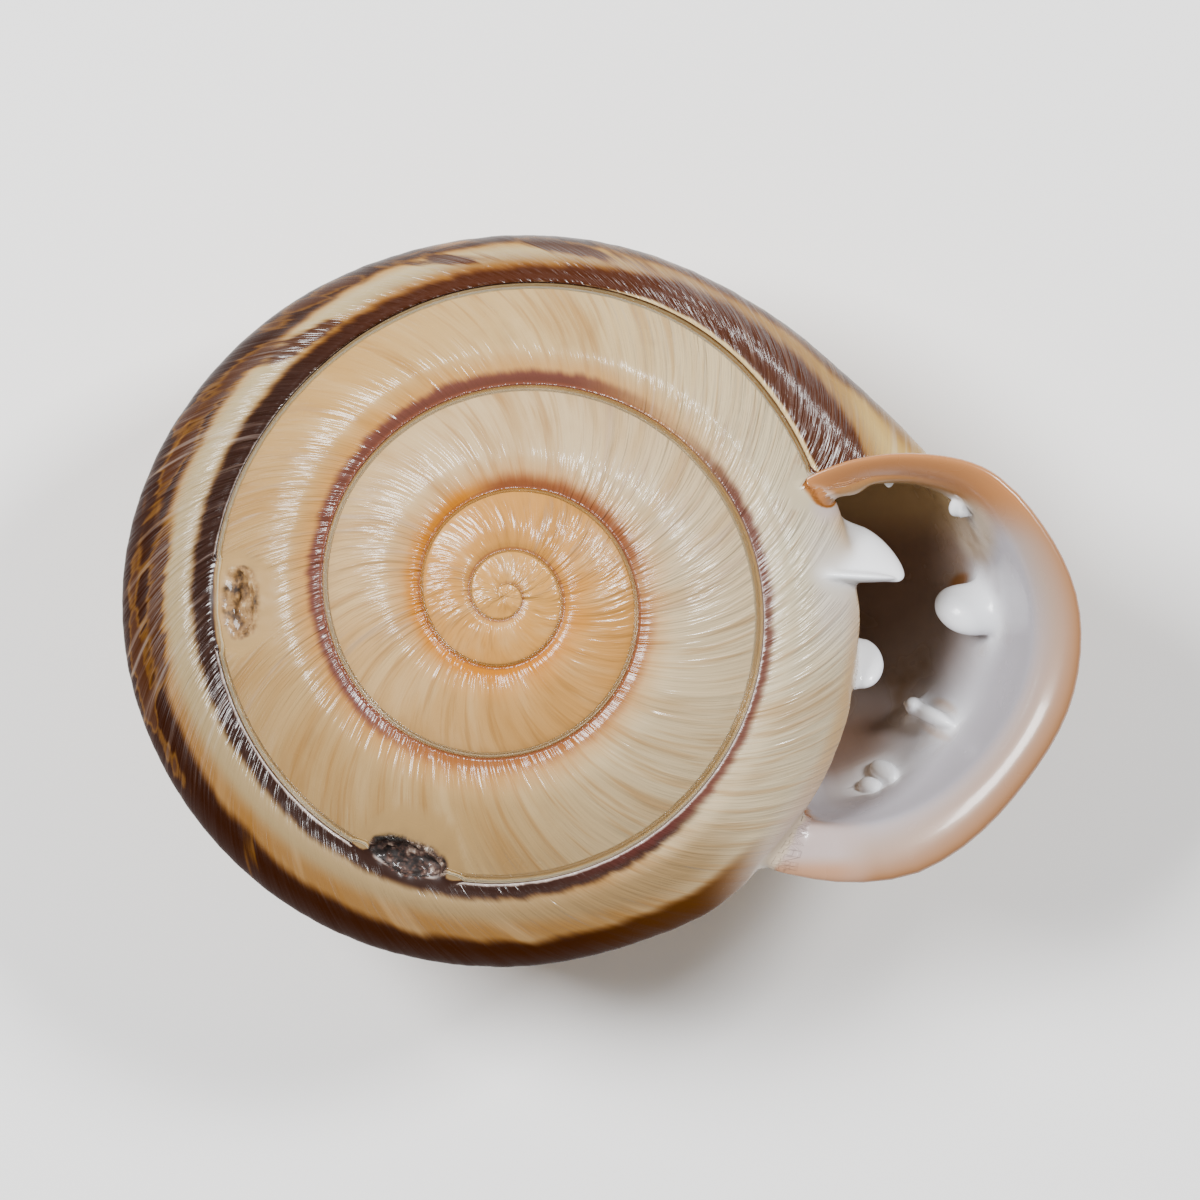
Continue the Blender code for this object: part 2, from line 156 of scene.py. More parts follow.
def top_section(turn):
    """Radii and heights from a whorl's seam out to the next one."""
    crown, crown_height, outer, keel_height, sharpness = top_arc(turn)
    inner = seam_radius(turn)
    shares = np.linspace(0, 1, top_rows + 1) ** top_crowding
    radii = inner + (cover_radius(turn) - inner) * shares
    inward = np.clip((crown - radii) / max(crown - inner, 1e-6), 0, 1)
    outward = np.clip((radii - crown) / (outer - crown), 0, 1)
    fall = (1 - outward**sharpness) ** (1 / sharpness)
    rim = crown_height - (crown_height - seam_height(turn)) * inward**2
    heights = np.where(radii < crown, rim, keel_height + (crown_height - keel_height) * fall)
    return np.column_stack((radii, heights))


def full_section(turn):
    """Radii and heights of a whole whorl: seam, crown, keel, base and navel."""
    crown, crown_height, outer, keel_height, sharpness = top_arc(turn)
    share = np.clip((cover_radius(turn) - crown) / (outer - crown), 0, 1)
    start = math.asin(min(1.0, share ** (sharpness / 2)))
    angles = np.linspace(start, math.pi / 2, keel_rows + 1)[1:]
    keel = np.column_stack((
        crown + (outer - crown) * np.sin(angles) ** (2 / sharpness),
        keel_height + (crown_height - keel_height) * np.cos(angles).clip(0) ** (2 / sharpness),
    ))
    base_level = smooth_curve(base_level_by_turn, turn)
    lowest = base_line * outer
    angles = np.linspace(0, math.pi / 2, base_rows + 1)[1:]
    base = np.column_stack((
        lowest + (outer - lowest) * np.cos(angles).clip(0) ** (2 / base_sharpness),
        keel_height - (keel_height - base_level) * np.sin(angles) ** (2 / base_sharpness),
    ))
    inward = np.linspace(0, 1, navel_rows + 1)[1:]
    sunk = np.sin(math.pi / 2 * inward**navel_spread) ** 2
    navel = np.column_stack((lowest * (1 - inward), base_level + (navel_level - base_level) * sunk))
    return np.vstack((top_section(turn), keel, base, navel))


def length_along(path):
    return np.concatenate(((0,), np.cumsum(np.linalg.norm(np.diff(path, axis=0), axis=1))))


def length_shares(path):
    return length_along(path) / length_along(path)[-1]


def offset(path, distance):
    """The path moved to its right-hand side, by one distance or by one for each point."""
    run = np.gradient(path, axis=0)
    run /= np.linalg.norm(run, axis=1)[:, None]
    side = np.column_stack((run[:, 1], -run[:, 0]))
    return path + side * np.reshape(distance, (-1, 1))


def resampled(path, shares):
    places = np.asarray(shares) * length_along(path)[-1]
    return np.column_stack([np.interp(places, length_along(path), path[:, k]) for k in (0, 1)])


def smooth_path(points, count=400):
    points = np.array(points, float)
    shares = length_shares(points)
    places = np.linspace(0, 1, count)
    return np.column_stack([
        smooth_curve(np.column_stack((shares, points[:, k])), places) for k in (0, 1)
    ])


def hollow_sides(turn):
    """The hollow's outer side, from the seam round to the core, and its inner side."""
    outside = full_section(turn)
    inner = full_section(turn - 1)[keel_row:core_row + 1]
    lined = offset(smooth_path(outside), wall)
    clear = lined[:, 0] > keel_radius(turn - 1) + hollow_side
    clear |= (lined[:, 0] > inner[-1, 0]) & (lined[:, 1] < inner[-1, 1] / 2)
    return resampled(lined[clear], length_shares(outside)), inner


def across_of(section, turn):
    """Share of the way from the seam to the keel at each point, and past 1 down the base."""
    inner, outer = seam_radius(turn), keel_radius(turn)
    share = (section[:, 0] - inner) / max(outer - inner, 1e-3)
    if len(section) > keel_row + 1:
        down = length_along(section)
        share[keel_row:] = 1 + (down[keel_row:] - down[keel_row]) / (outer - inner)
    return share


# Length grown along the middle of the whorls, from which growth lines take their places
growth_turns = np.linspace(coil_start, coil_end + 1, 1200)
growth_speeds = np.array([
    math.pi * (seam_radius(t) + keel_radius(min(t, coil_end))) for t in growth_turns
])
growth_lengths = np.cumsum(growth_speeds) * (growth_turns[1] - growth_turns[0])

flat_values = ("turn", "tilt", "growth", "across", "seam", "rim", "tooth", "dirt", "known")


def linked(name, data):
    """An object with this data, in the scene."""
    piece = bpy.data.objects.new(name, data)
    bpy.context.scene.collection.objects.link(piece)
    return piece


class FlatSheet:
    """Cross-sections laid flat, with what is known at each point, and the faces between them."""

    def __init__(self):
        self.points = []
        self.values = []
        self.faces = []

    def add_section(self, section, turn, across, tilt=0.0, ahead=0.0, rim=-3.0):
        """Adds a section's points and gives back their numbers."""
        first = len(self.points)
        inner = seam_radius(min(turn, coil_end))
        count = len(section)
        aheads, rims = np.full(count, ahead), np.full(count, rim)
        wide = np.minimum(across, 1.2)
        grown = np.interp(
            turn + growth_lean * wide + growth_bow * wide**2, growth_turns, growth_lengths
        )
        for k, (radius, height) in enumerate(section):
            seam = radius - inner if across[k] < 1.05 else 10.0
            self.points.append((radius, -aheads[k], height))
            self.values.append((turn, tilt, grown[k], across[k], seam, rims[k], 0.0, 0.0, 1.0))
        return list(range(first, first + count))

    def add_face(self, corners):
        """A face on the corners that differ, or none where they fall together."""
        corners = [v for k, v in enumerate(corners) if v != corners[k - 1]]
        if len(corners) > 2:
            self.faces.append(corners)

    def add_strip(self, first, second):
        for k in range(len(first) - 1):
            self.add_face((first[k], first[k + 1], second[k + 1], second[k]))

    def made(self, name):
        mesh = bpy.data.meshes.new(name)
        mesh.from_pydata(self.points, [], self.faces)
        for value_name, column in zip(flat_values, np.array(self.values).T):
            mesh.attributes.new(value_name, "FLOAT", "POINT").data.foreach_set("value", column)
        return linked(name, mesh)


last_tick = round(coil_end * ticks_per_turn)
ticks = [round(coil_start * ticks_per_turn)]
while ticks[-1] < last_tick:
    if ticks[-1] >= fine_from_turn * ticks_per_turn:
        ticks.append(ticks[-1] + 1)
    elif ticks[-1] >= middling_from_turn * ticks_per_turn:
        ticks.append(ticks[-1] + 2)
    else:
        ticks.append(ticks[-1] + 4)

coil = FlatSheet()
rows = {}
navel = None
for tick in ticks:
    turn = tick / ticks_per_turn
    if tick < last_tick - ticks_per_turn:
        section = top_section(turn)[:-1]
        rows[tick] = coil.add_section(section, turn, across_of(section, turn))
        continue
    section = full_section(turn)
    across = across_of(section, turn)
    if navel is None:
        navel = coil.add_section(section[-1:], turn, across[-1:])
    rows[tick] = coil.add_section(section[:-1], turn, across[:-1]) + navel
for here, there in zip(ticks, ticks[1:]):
    coil.add_strip(rows[here], rows[there])
    if here < last_tick - ticks_per_turn:
        covered = [
            rows[tick][0]
            for tick in range(here + ticks_per_turn, there + ticks_per_turn + 1)
            if tick in rows
        ]
        coil.add_face([rows[here][top_rows - 1]] + covered + [rows[there][top_rows - 1]])

# The hollow of the last half turn, and the band of wall where the mouth joins on
before = rows[last_tick - ticks_per_turn]
rings = []
first_hollow_tick = math.ceil(hollow_start * ticks_per_turn / hollow_tick_step) * hollow_tick_step
for tick in range(first_hollow_tick, last_tick + 1, hollow_tick_step):
    turn = tick / ticks_per_turn
    outer_side, inner_side = hollow_sides(turn)
    deep = hollow_rim + (coil_end - turn) * hollow_rim_per_turn
    across = across_of(full_section(turn), turn)
    outer_row = coil.add_section(outer_side, turn, across, rim=deep)
    inner_row = before[keel_row:core_row + 1]
    if tick < last_tick:
        across = across[keel_row:core_row + 1]
        inner_row = coil.add_section(inner_side, turn, across, rim=deep)
    rings.append(outer_row + inner_row[::-1])
for ring, following in zip(rings, rings[1:]):
    coil.add_strip(ring + ring[:1], following + following[:1])
coil.add_face(rings[0])
seam_side = before[top_rows + 1:keel_row + 1]
core_side = before[core_row:-1]
coil.add_face(rows[last_tick] + core_side[::-1] + outer_row[::-1] + seam_side[::-1])

# The mouth: the whorl's section turns up about a level line, and its wall ends in a flared lip
mouth_tilt = math.radians(82)
mouth_outline = (
    (11.4, 0.75), (13.2, 0.82), (15.2, 0.35), (17.15, -0.9), (18.25, -3.5), (18.35, -6.1),
    (17.2, -8.7), (14.75, -10.85), (11.5, -12.4), (8.8, -12.55), (6.5, -11.65), (4.7, -9.6),
)
lip_wall = ((0.0, 0.4), (0.2, 0.5), (0.4, 0.65), (0.7, 0.65), (0.85, 1.2), (1.0, 2.0))
lip_flare = ((0.0, 0.35), (0.12, 0.4), (0.25, 0.65), (0.4, 1.0), (0.85, 1.0), (1.0, 0.3))
lip_rise = ((0.0, 0.25), (0.08, 0.7), (0.25, 1.0), (0.85, 1.0), (1.0, 0.2))
seam_root = (10.6, 0.3)
core_root = (4.6, -8.9)
lining_start = 12.2
lining_drop = 2
# The lip in section, from the outer wall over the rim towards the lining: how far out, what
# share of the wall in, and how far up
lip_section = (
    (0.0, 0.0, 0.0), (0.3, 0.0, 0.18), (0.7, 0.0, 0.36), (0.88, 0.0, 0.56), (0.72, 0.0, 0.74),
    (0.3, 0.0, 0.7), (0.0, 0.25, 0.5), (0.0, 0.75, 0.22), (0.0, 1.0, 0.0),
)
lip_edge_row = 3
lip_rows = 22
lip_width_outside, lip_width_inside = 2.2, 1.9

outside = full_section(coil_end)
lining, core_wall = hollow_sides(coil_end)
bend_seam_root = core_wall[0] + 2 * (core_wall[0] - lining[0])
bend_core_root = core_wall[-1] + (core_wall[-1] - lining[-1])
outline = smooth_path(mouth_outline)
shares = length_shares(outside)
lip_outside = resampled(outline, shares)
lined = offset(outline, smooth_curve(lip_wall, length_shares(outline)))
clear = (lined[:, 0] > lining_start) | (lined[:, 1] < outline[0, 1] - lining_drop)
lip_lining = resampled(lined[clear], shares)
at_bend = np.vstack((bend_seam_root[None], outside, bend_core_root[None], lining[::-1]))
at_lip = np.vstack((np.array((seam_root,)), lip_outside, np.array((core_root,)), lip_lining[::-1]))
count = len(outside)
across = across_of(outside, coil_end)
ring_across = np.concatenate((across[:1], across, across[-1:], across[::-1]))
inside = np.arange(len(at_bend)) > count
tube_length = 9.0
tube_rim_outside, tube_rim_inside = -0.8, 1.2
inside_share = 0.85
tube_turns = 0.1
least_wall = 0.35
fold_depth, fold_place, fold_width = 0.36, 0.25, 0.2

mouth = FlatSheet()
rings = []
for step in range(mouth_steps + 1):
    share = step / mouth_steps
    below = (1 - share) * tube_length
    rim = np.where(inside, tube_rim_inside + below * inside_share, tube_rim_outside - below)
    section = at_bend + (at_lip - at_bend) * share
    fold = np.exp(-((across - fold_place) / fold_width) ** 2) * math.sin(math.pi * share)
    section[1:count + 1, 1] -= fold_depth * fold
    outer = section[1:count + 1]
    outward = outer - offset(outer, 1)
    thick = ((outer - section[:count + 1:-1]) * outward).sum(axis=1)
    section[:count + 1:-1] -= outward * np.maximum(least_wall - thick, 0)[:, None]
    turn = coil_end + share * tube_turns
    rings.append(mouth.add_section(section, turn, ring_across, mouth_tilt * share, rim=rim))
mouth.add_face(rings[0])
for ring, following in zip(rings, rings[1:]):
    mouth.add_strip(ring + ring[:1], following + following[:1])

lip_outward = lip_outside - offset(lip_outside, 1)
lip_across = length_shares(lip_outside)
rise = smooth_curve(lip_rise, lip_across)
flare = smooth_curve(lip_flare, lip_across)
lip_places = np.linspace(0, 1, len(lip_section))
fine_places = np.linspace(0, 1, lip_rows + 1)
fine_lip = np.column_stack([
    smooth_curve(np.column_stack((lip_places, np.array(lip_section)[:, k])), fine_places)
    for k in range(3)
])
edge_place = lip_edge_row / (len(lip_section) - 1)
lip_ends = rings[-1][0], rings[-1][count + 1]
lip_strips = [[lip_ends[0]] + rings[-1][1:count + 2]]
for place, (out, inward, up) in list(zip(fine_places, fine_lip))[1:-1]:
    section = lip_outside + (lip_lining - lip_outside) * inward
    section += lip_outward * (out * flare)[:, None]
    rim = (place - edge_place) * (lip_width_inside if place > edge_place else lip_width_outside)
    row = mouth.add_section(
        section, coil_end + tube_turns, across, mouth_tilt, ahead=up * rise, rim=rim
    )
    lip_strips.append([lip_ends[0]] + row + [lip_ends[1]])
lip_strips.append([lip_ends[0]] + rings[-1][:count + 1:-1] + [lip_ends[1]])
for row, following in zip(lip_strips, lip_strips[1:]):
    mouth.add_strip(row, following)


def put(tree, kind, *values, **settings):
    """Adds a node, sets its properties, and links or sets its inputs in order."""
    node = tree.nodes.new(kind)
    for name, value in settings.items():
        setattr(node, name, value)
    for socket, value in zip([s for s in node.inputs if s.enabled], values):
        if isinstance(value, bpy.types.NodeSocket):
            tree.links.new(value, socket)
        elif value is not None:
            socket.default_value = value
    return [s for s in node.outputs if s.enabled][0]


def new_tree(name, inputs):
    """A Geometry Nodes tree with named inputs, and its opening node's outputs by name."""
    tree = bpy.data.node_groups.new(name, "GeometryNodeTree")
    tree.interface.new_socket("Geometry", in_out="INPUT", socket_type="NodeSocketGeometry")
    for input_name, kind in inputs:
        tree.interface.new_socket(input_name, in_out="INPUT", socket_type=kind)
    tree.interface.new_socket("Geometry", in_out="OUTPUT", socket_type="NodeSocketGeometry")
    return tree, tree.nodes.new("NodeGroupInput").outputs


def end_tree(tree, geometry, finish):
    solid = put(tree, "GeometryNodeRealizeInstances", geometry)
    finished = put(tree, "GeometryNodeSetMaterial", solid, None, finish)
    tree.links.new(finished, tree.nodes.new("NodeGroupOutput").inputs[0])


def through_tree(piece, tree, settings):
    """The piece's mesh after the tree, as a plain mesh on the same object."""
    modifier = piece.modifiers.new(tree.name, "NODES")
    modifier.node_group = tree
    for item in tree.interface.items_tree:
        if item.in_out == "INPUT" and item.name in settings:
            modifier[item.identifier] = settings[item.name]
    return settle(piece)


def settle(piece):
    """Turns the piece's modifiers into a plain mesh and takes them off."""
    graph = bpy.context.evaluated_depsgraph_get()
    mesh = bpy.data.meshes.new_from_object(piece.evaluated_get(graph), depsgraph=graph)
    piece.modifiers.clear()
    piece.data = mesh
    return piece


# The tree that winds flat sections up on the coil and moves them to where the shell rests
wind, wind_in = new_tree("wind_on_coil", (
    ("Coil end", "NodeSocketFloat"),
    ("Pivot height", "NodeSocketFloat"),
    ("Rest place", "NodeSocketVector"),
    ("Millimetre", "NodeSocketFloat"),
    ("Finish", "NodeSocketMaterial"),
))
turn_at = put(wind, "GeometryNodeInputNamedAttribute", "turn", data_type="FLOAT")
tilt_at = put(wind, "GeometryNodeInputNamedAttribute", "tilt", data_type="FLOAT")
pivot = put(wind, "ShaderNodeCombineXYZ", None, None, wind_in["Pivot height"])
tipped = put(
    wind, "ShaderNodeVectorRotate", put(wind, "GeometryNodeInputPosition"), pivot,
    put(wind, "ShaderNodeMath", tilt_at, -1.0, operation="MULTIPLY"), rotation_type="X_AXIS",
)
coiled_turn = put(wind, "ShaderNodeMath", turn_at, wind_in["Coil end"], operation="MINIMUM")
coiled = put(
    wind, "ShaderNodeVectorRotate", tipped, None,
    put(wind, "ShaderNodeMath", coiled_turn, -2 * math.pi, operation="MULTIPLY"),
    rotation_type="Z_AXIS",
)
rested = put(wind, "ShaderNodeVectorMath", coiled, wind_in["Rest place"], operation="SUBTRACT")
scaled = put(wind, "ShaderNodeVectorMath", rested, wind_in["Millimetre"], operation="SCALE")
wound = put(wind, "GeometryNodeSetPosition", wind_in["Geometry"], None, scaled)
end_tree(wind, wound, wind_in["Finish"])

glaze = bpy.data.materials.new("glazed_shell")
glaze.use_nodes = True
winding = {
    "Coil end": coil_end,
    "Pivot height": pivot_height,
    "Rest place": (rest_x, rest_y, -rest_depth),
    "Millimetre": millimetre,
    "Finish": glaze,
}


def turn_outwards(mesh, merge_within=None):
    """Merges the points closer than this, if it is given, and turns the faces outwards."""
    bm = bmesh.new()
    bm.from_mesh(mesh)
    if merge_within:
        bmesh.ops.remove_doubles(bm, verts=bm.verts, dist=merge_within)
    bmesh.ops.recalc_face_normals(bm, faces=bm.faces)
    bm.to_mesh(mesh)
    bm.free()


apex_gap = 4e-7


def wound_solid(sheet, name):
    """The sheet wound up and closed, with the points that fell together at the apex merged."""
    piece = through_tree(sheet.made(name), wind, winding)
    turn_outwards(piece.data, apex_gap)
    return piece


def join(piece, other, operation):
    """Joins the other to the piece, or cuts it away, and removes the other."""
    modifier = piece.modifiers.new(operation.lower(), "BOOLEAN")
    modifier.operation = operation
    modifier.solver = "MANIFOLD"
    modifier.object = other
    settle(piece)
    bpy.data.objects.remove(other)


shell = wound_solid(coil, "shell_glazed")
join(shell, wound_solid(mouth, "mouth_tube"), "UNION")

# The teeth, from the big one on the whorl's side round the mouth: both ends of the root, the
# tip, the thickness, how blunt it is, how far its middle leans, and how far in from the lip
teeth = (
    ((11.9, 2.6, -2.6), (11.85, 0.75, -0.1), (14.15, 0.75, -0.9), 0.95, 2.1, 0.22, -3),
    ((11.5, 0.74, 0.5), (11.5, 0.7, -0.7), (13.85, 0.62, -0.5), 0.42, 3.0, 0, -3),
    ((12.3, -1.5, -3.0), (12.25, -3.25, -1.4), (13.45, -2.45, -2.0), 0.85, 3.0, 0, -3),
    ((16.95, 0.45, -4.6), (17.7, -1.28, -3.6), (15.42, -0.62, -4.1), 1.4, 4.0, 0, 3),
    ((16.35, -4.8, -4.2), (14.8, -4.1, -6.5), (14.72, -4.0, -5.5), 0.62, 4.0, 0, 3),
    ((15.05, -4.2, -6.2), (14.5, -3.85, -6.5), (14.55, -3.9, -5.3), 0.66, 4.0, 0, 3),
    ((14.15, -6.9, -4.8), (13.3, -6.25, -6.3), (13.45, -6.1, -5.2), 0.9, 3.5, 0, 3),
    ((13.45, -7.2, -4.9), (12.8, -6.85, -5.8), (12.95, -6.65, -4.9), 0.8, 3.5, 0, 3),
    ((16.2, 3.6, -0.8), (16.2, 2.9, -1.4), (15.75, 3.15, -1.3), 0.6, 3.0, 0, 3),
    ((13.35, 4.35, -0.85), (13.85, 4.35, -0.85), (13.6, 3.85, -0.75), 0.45, 2.0, 0, 1.5),
)
tooth_turn_on_whorl = 3.98
tooth_sink = 0.3
tooth_foot = 0.2
foot_height = 0.1
tooth_rings = 22
tooth_roundness = 0.55
tip_breadth = 0.0004


def plain_solid(name, points, faces, values):
    """A closed solid in the coil's place, moved to where the shell rests."""
    mesh = bpy.data.meshes.new(name)
    placed = (np.array(points) - (rest_x, rest_y, -rest_depth)) * millimetre
    mesh.from_pydata(placed, [], faces)
    for value_name in flat_values:
        layer = mesh.attributes.new(value_name, "FLOAT", "POINT")
        layer.data.foreach_set("value", np.full(len(points), values.get(value_name, 0.0)))
    turn_outwards(mesh)
    return linked(name, mesh)


def tooth_solid(name, root_start, root_end, tip, thickness, bluntness, lean, rim):
    root_start, root_end, tip = np.array((root_start, root_end, tip))
    middle = (root_start + root_end) / 2
    reach = tip - middle
    breadth = (root_start - root_end) / 2
    depth = np.cross(reach, breadth)
    depth *= thickness / 2 / np.linalg.norm(depth)
    sunk = middle - reach * tooth_sink / np.linalg.norm(reach)
    angles = np.linspace(0, 2 * math.pi, tooth_sides, endpoint=False)[:, None]
    outline = breadth * np.cos(angles) + depth * np.sin(angles)
    points = list(sunk + outline * (1 + tooth_foot))
    for share in np.sin(np.linspace(0, math.pi / 2, tooth_rings)):
        breadth_here = max(1 - share**bluntness, tip_breadth) ** tooth_roundness
        breadth_here += tooth_foot * math.exp(-share / foot_height) * (1 - share)
        centre = middle + reach * share + breadth * (lean * math.sin(math.pi * share))
        points += list(centre + outline * breadth_here)
    faces = [list(range(tooth_sides))]
    for ring in range(tooth_rings):
        for side in range(tooth_sides):
            here, there = ring * tooth_sides + side, ring * tooth_sides + (side + 1) % tooth_sides
            faces.append((here, there, there + tooth_sides, here + tooth_sides))
    faces.append([tooth_rings * tooth_sides + side for side in range(tooth_sides)])
    turn = tooth_turn_on_whorl if rim < 0 else coil_end
    return plain_solid(name, points, faces, {
        "tooth": 1, "turn": turn, "across": 0.8, "seam": 10, "rim": rim, "known": 1,
    })


for number, tooth in enumerate(teeth, 1):
    join(shell, tooth_solid(f"tooth_{number}", *tooth), "UNION")

# Damage on the spire: a pit, and a broken place on the last seam
damage = (
    ((-9.42, -0.25, 1.65), (0.6, 1.45, 0.7), 0.0),
    ((-3.45, -9.35, 1.05), (1.5, 0.6, 0.5), math.radians(-20)),
)


def damage_solid(name, centre, radii, turned):
    """An egg-shaped cutter."""
    bm = bmesh.new()
    bmesh.ops.create_icosphere(bm, subdivisions=4, radius=1)
    points = np.array([v.co for v in bm.verts]) * radii
    faces = [[v.index for v in f.verts] for f in bm.faces]
    bm.free()
    c, s = math.cos(turned), math.sin(turned)
    points = points @ np.array(((c, s, 0), (-s, c, 0), (0, 0, 1))) + centre
    return plain_solid(name, points, faces, {"dirt": 1, "turn": 3.5, "rim": -3, "known": 1})


for number, place in enumerate(damage, 1):
    join(shell, damage_solid(f"damage_{number}", *place), "DIFFERENCE")

block = np.array([(x, y, z) for x in (-5, 5) for y in (-5, 5) for z in (-8, 0)])
block_faces = ((0, 1, 3, 2), (4, 6, 7, 5), (0, 4, 5, 1), (2, 3, 7, 6), (0, 2, 6, 4), (1, 5, 7, 3))
join(shell, plain_solid("rest_plane", block * (2, 2, 1) - (0, 0, rest_depth), block_faces,
                        {"turn": 4.5, "across": 3, "rim": -3, "known": 1}), "DIFFERENCE")

# Along the joins, points take their values from their neighbours
spread_passes = 6
fillet_reach = 5
fillet_passes = 16
fillet_pull = 0.6
rolled_easing = 0.9
floor_gap = 1e-6
white_passes, white_kept = 6, 0.9
soft_passes = 5


def edge_ends(mesh):
    ends = np.empty(len(mesh.edges) * 2, np.int32)
    mesh.edges.foreach_get("vertices", ends)
    return ends.reshape(-1, 2)


def column(mesh, name):
    found = np.empty(len(mesh.vertices), np.float32)
    mesh.attributes[name].data.foreach_get("value", found)
    return found.astype(float)


mesh = shell.data
ends = edge_ends(mesh)
one, other = np.concatenate((ends, ends[:, ::-1])).T
known = column(mesh, "known")
values = np.column_stack([column(mesh, name) for name in flat_values])
joint = known < 0.999
settled = (~joint).astype(float)
for _ in range(spread_passes):
    weight = np.zeros(len(known))
    total = np.zeros_like(values)
    np.add.at(weight, one, settled[other])
    np.add.at(total, one, values[other] * settled[other][:, None])
    fill = (settled == 0) & (weight > 0)
    values[fill] = total[fill] / weight[fill][:, None]
    settled[fill] = 1


def neighbour_mean(values):
    """At each point, the mean of the values at the points joined to it."""
    total = np.zeros_like(values)
    np.add.at(total, one, values[other])
    return total / degree[:, None]


# Near the joins the surface is eased into a fillet, and the teeth's white runs down onto the wall
degree = np.maximum(np.bincount(one, minlength=len(known)), 1).astype(float)
near = joint.astype(float)[:, None]
for step in range(fillet_reach):
    near = np.maximum(near, (neighbour_mean(near) > 0) * (1 - step / fillet_reach))
places = np.empty(len(mesh.vertices) * 3, np.float32)
mesh.vertices.foreach_get("co", places)
places = places.reshape(-1, 3).astype(float)
resting = places[:, 2] < floor_gap
near[resting] = 0
first_painted = flat_values.index("across")
tooth_column = flat_values.index("tooth")
rims = values[:, flat_values.index("rim")]
rolled = np.clip((rims - 0.5) / 0.4, 0, 1) * np.clip((4.5 - rims) / 2.0, 0, 1)
easing = np.maximum(near, rolled_easing * rolled[:, None] * (values[:, [tooth_column]] < 0.1))
for _ in range(fillet_passes):
    places += easing * fillet_pull * (neighbour_mean(places) - places)
    painted = values[:, first_painted:]
    painted += near * fillet_pull * (neighbour_mean(painted) - painted)
mesh.vertices.foreach_set("co", places.astype(np.float32).ravel())
white = values[:, [tooth_column]]
for _ in range(white_passes):
    white = np.maximum(white, neighbour_mean(white) * white_kept)
for _ in range(soft_passes):
    white += (neighbour_mean(white) - white) * np.clip(near * 3, 0, 1)
values[:, [tooth_column]] = white

# Dark blotches on the last whorl: place in turns, place across, and half their length and breadth
blotches = (
    (4.5, 0.61, 0.042, 0.13), (4.47, 0.87, 0.055, 0.07), (4.56, 0.75, 0.022, 0.09),
    (4.608, 0.72, 0.025, 0.13), (4.583, 0.91, 0.014, 0.06), (4.664, 0.87, 0.03, 0.13),
    (4.722, 0.63, 0.014, 0.22), (4.778, 0.75, 0.028, 0.2), (4.86, 0.93, 0.055, 0.06),
    (4.644, 0.42, 0.022, 0.15),
)
blotch_lean = 0.09
turns, acrosses = values[:, 0], values[:, flat_values.index("across")]
blotch = np.zeros(len(turns))
for turn, across, half_length, half_breadth in blotches:
    along = turns - turn + blotch_lean * (acrosses - across)
    reach = (along / half_length) ** 2 + ((acrosses - across) / half_breadth) ** 2
    blotch += np.exp(-reach)

calm = np.clip(near[:, 0] * 2, 0, 1)
for name, filled in zip(flat_values + ("blotch", "calm"), np.column_stack((values, blotch, calm)).T):
    if name not in mesh.attributes:
        mesh.attributes.new(name, "FLOAT", "POINT")
    mesh.attributes[name].data.foreach_set("value", filled.astype(np.float32))

# The tree that raises growth lines, the wrinkles of the fourth whorl and the thread on the seam
relief, relief_in = new_tree("growth_relief", (
    ("Line height", "NodeSocketFloat"),
    ("Line spacing", "NodeSocketFloat"),
    ("Wrinkle height", "NodeSocketFloat"),
    ("Thread height", "NodeSocketFloat"),
    ("Groove depth", "NodeSocketFloat"),
    ("Break depth", "NodeSocketFloat"),
    ("Seed", "NodeSocketFloat"),
    ("Finish", "NodeSocketMaterial"),
))


def measured(name):
    return put(relief, "GeometryNodeInputNamedAttribute", name, data_type="FLOAT")


def sum_up(operation, *values):
    """A sum in the tree that the values come from."""
    tree = next(v for v in values if isinstance(v, bpy.types.NodeSocket)).id_data
    return put(tree, "ShaderNodeMath", *values, operation=operation)


def sloped(value, slope, start):
    """The slope times the value, and the start on top."""
    return sum_up("MULTIPLY_ADD", value, slope, start)


def times(*values):
    """The product of the values."""
    total = values[0]
    for value in values[1:]:
        total = sum_up("MULTIPLY", total, value)
    return total


def fade(value, start, end):
    """Rises smoothly from 0 at the start to 1 at the end, which may be the lower of the two."""
    return put(value.id_data, "ShaderNodeMapRange", value, start, end, 0.0, 1.0,
               interpolation_type="SMOOTHSTEP")


def within(value, start, end, soft):
    """1 between the start and the end, and 0 outside, with soft borders."""
    rising = fade(value, start - soft, start + soft)
    return times(rising, fade(value, end + soft, end - soft))


def noise(vector, scale, detail, roughness, seed):
    return put(vector.id_data, "ShaderNodeTexNoise", vector, seed, scale, detail, roughness,
               noise_dimensions="4D", normalize=True)


grown = measured("growth")
outer_face = times(fade(measured("rim"), 0.0, -1.0), sum_up("SUBTRACT", 1.0, measured("calm")))
on_teeth = sum_up("SUBTRACT", 1.0, measured("tooth"))
spot = put(relief, "ShaderNodeCombineXYZ", grown, times(measured("across"), 0.35), 0.0)
per_line = sum_up("DIVIDE", 1.0, relief_in["Line spacing"])
lines = sum_up("SUBTRACT", noise(spot, per_line, 2.0, 0.5, relief_in["Seed"]), 0.5)
line_rise = times(lines, relief_in["Line height"])
wrinkle = noise(spot, times(per_line, 0.55), 3.0, 0.6, 4.0)
wrinkle_rise = times(wrinkle, within(measured("turn"), 3.44, 3.64, 0.06),
                     fade(measured("across"), 0.3, 0.55), relief_in["Wrinkle height"])
shore = sum_up("ADD", measured("seam"), sloped(noise(spot, 1.4, 3.0, 0.6, 7.0), 0.3, -0.15))
thread_rise = times(fade(shore, 0.3, 0.08), fade(measured("turn"), 3.93, 4.05),
                    relief_in["Thread height"])
